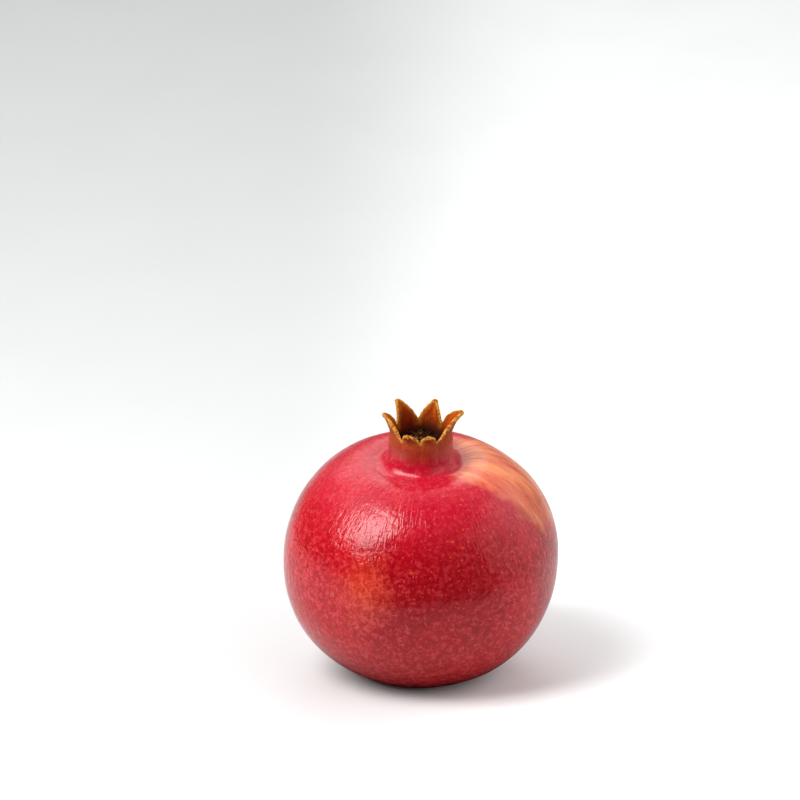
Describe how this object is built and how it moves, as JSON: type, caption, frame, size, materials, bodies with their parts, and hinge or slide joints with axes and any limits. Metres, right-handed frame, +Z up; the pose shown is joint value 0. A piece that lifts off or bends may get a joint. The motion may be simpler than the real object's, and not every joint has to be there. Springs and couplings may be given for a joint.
{
  "type": "pomegranate",
  "caption": "Round whole pomegranate with a short neck and a crown of pointed sepals open over dried stamens, leaning a little on a flattened base.",
  "frame": {"origin": "middle of the bounding box at the surface the fruit rests on", "axes": "+Z up towards the crown, -Y to the front where the crown leans, +X to the right seen from the front"},
  "size_m": [0.0902, 0.0902, 0.0936],
  "materials": {
    "rind": "satin",
    "dried_parts": "matte"
  },
  "bodies": {
    "root": {"pomegranate": "rind"}
  },
  "joints": []
}
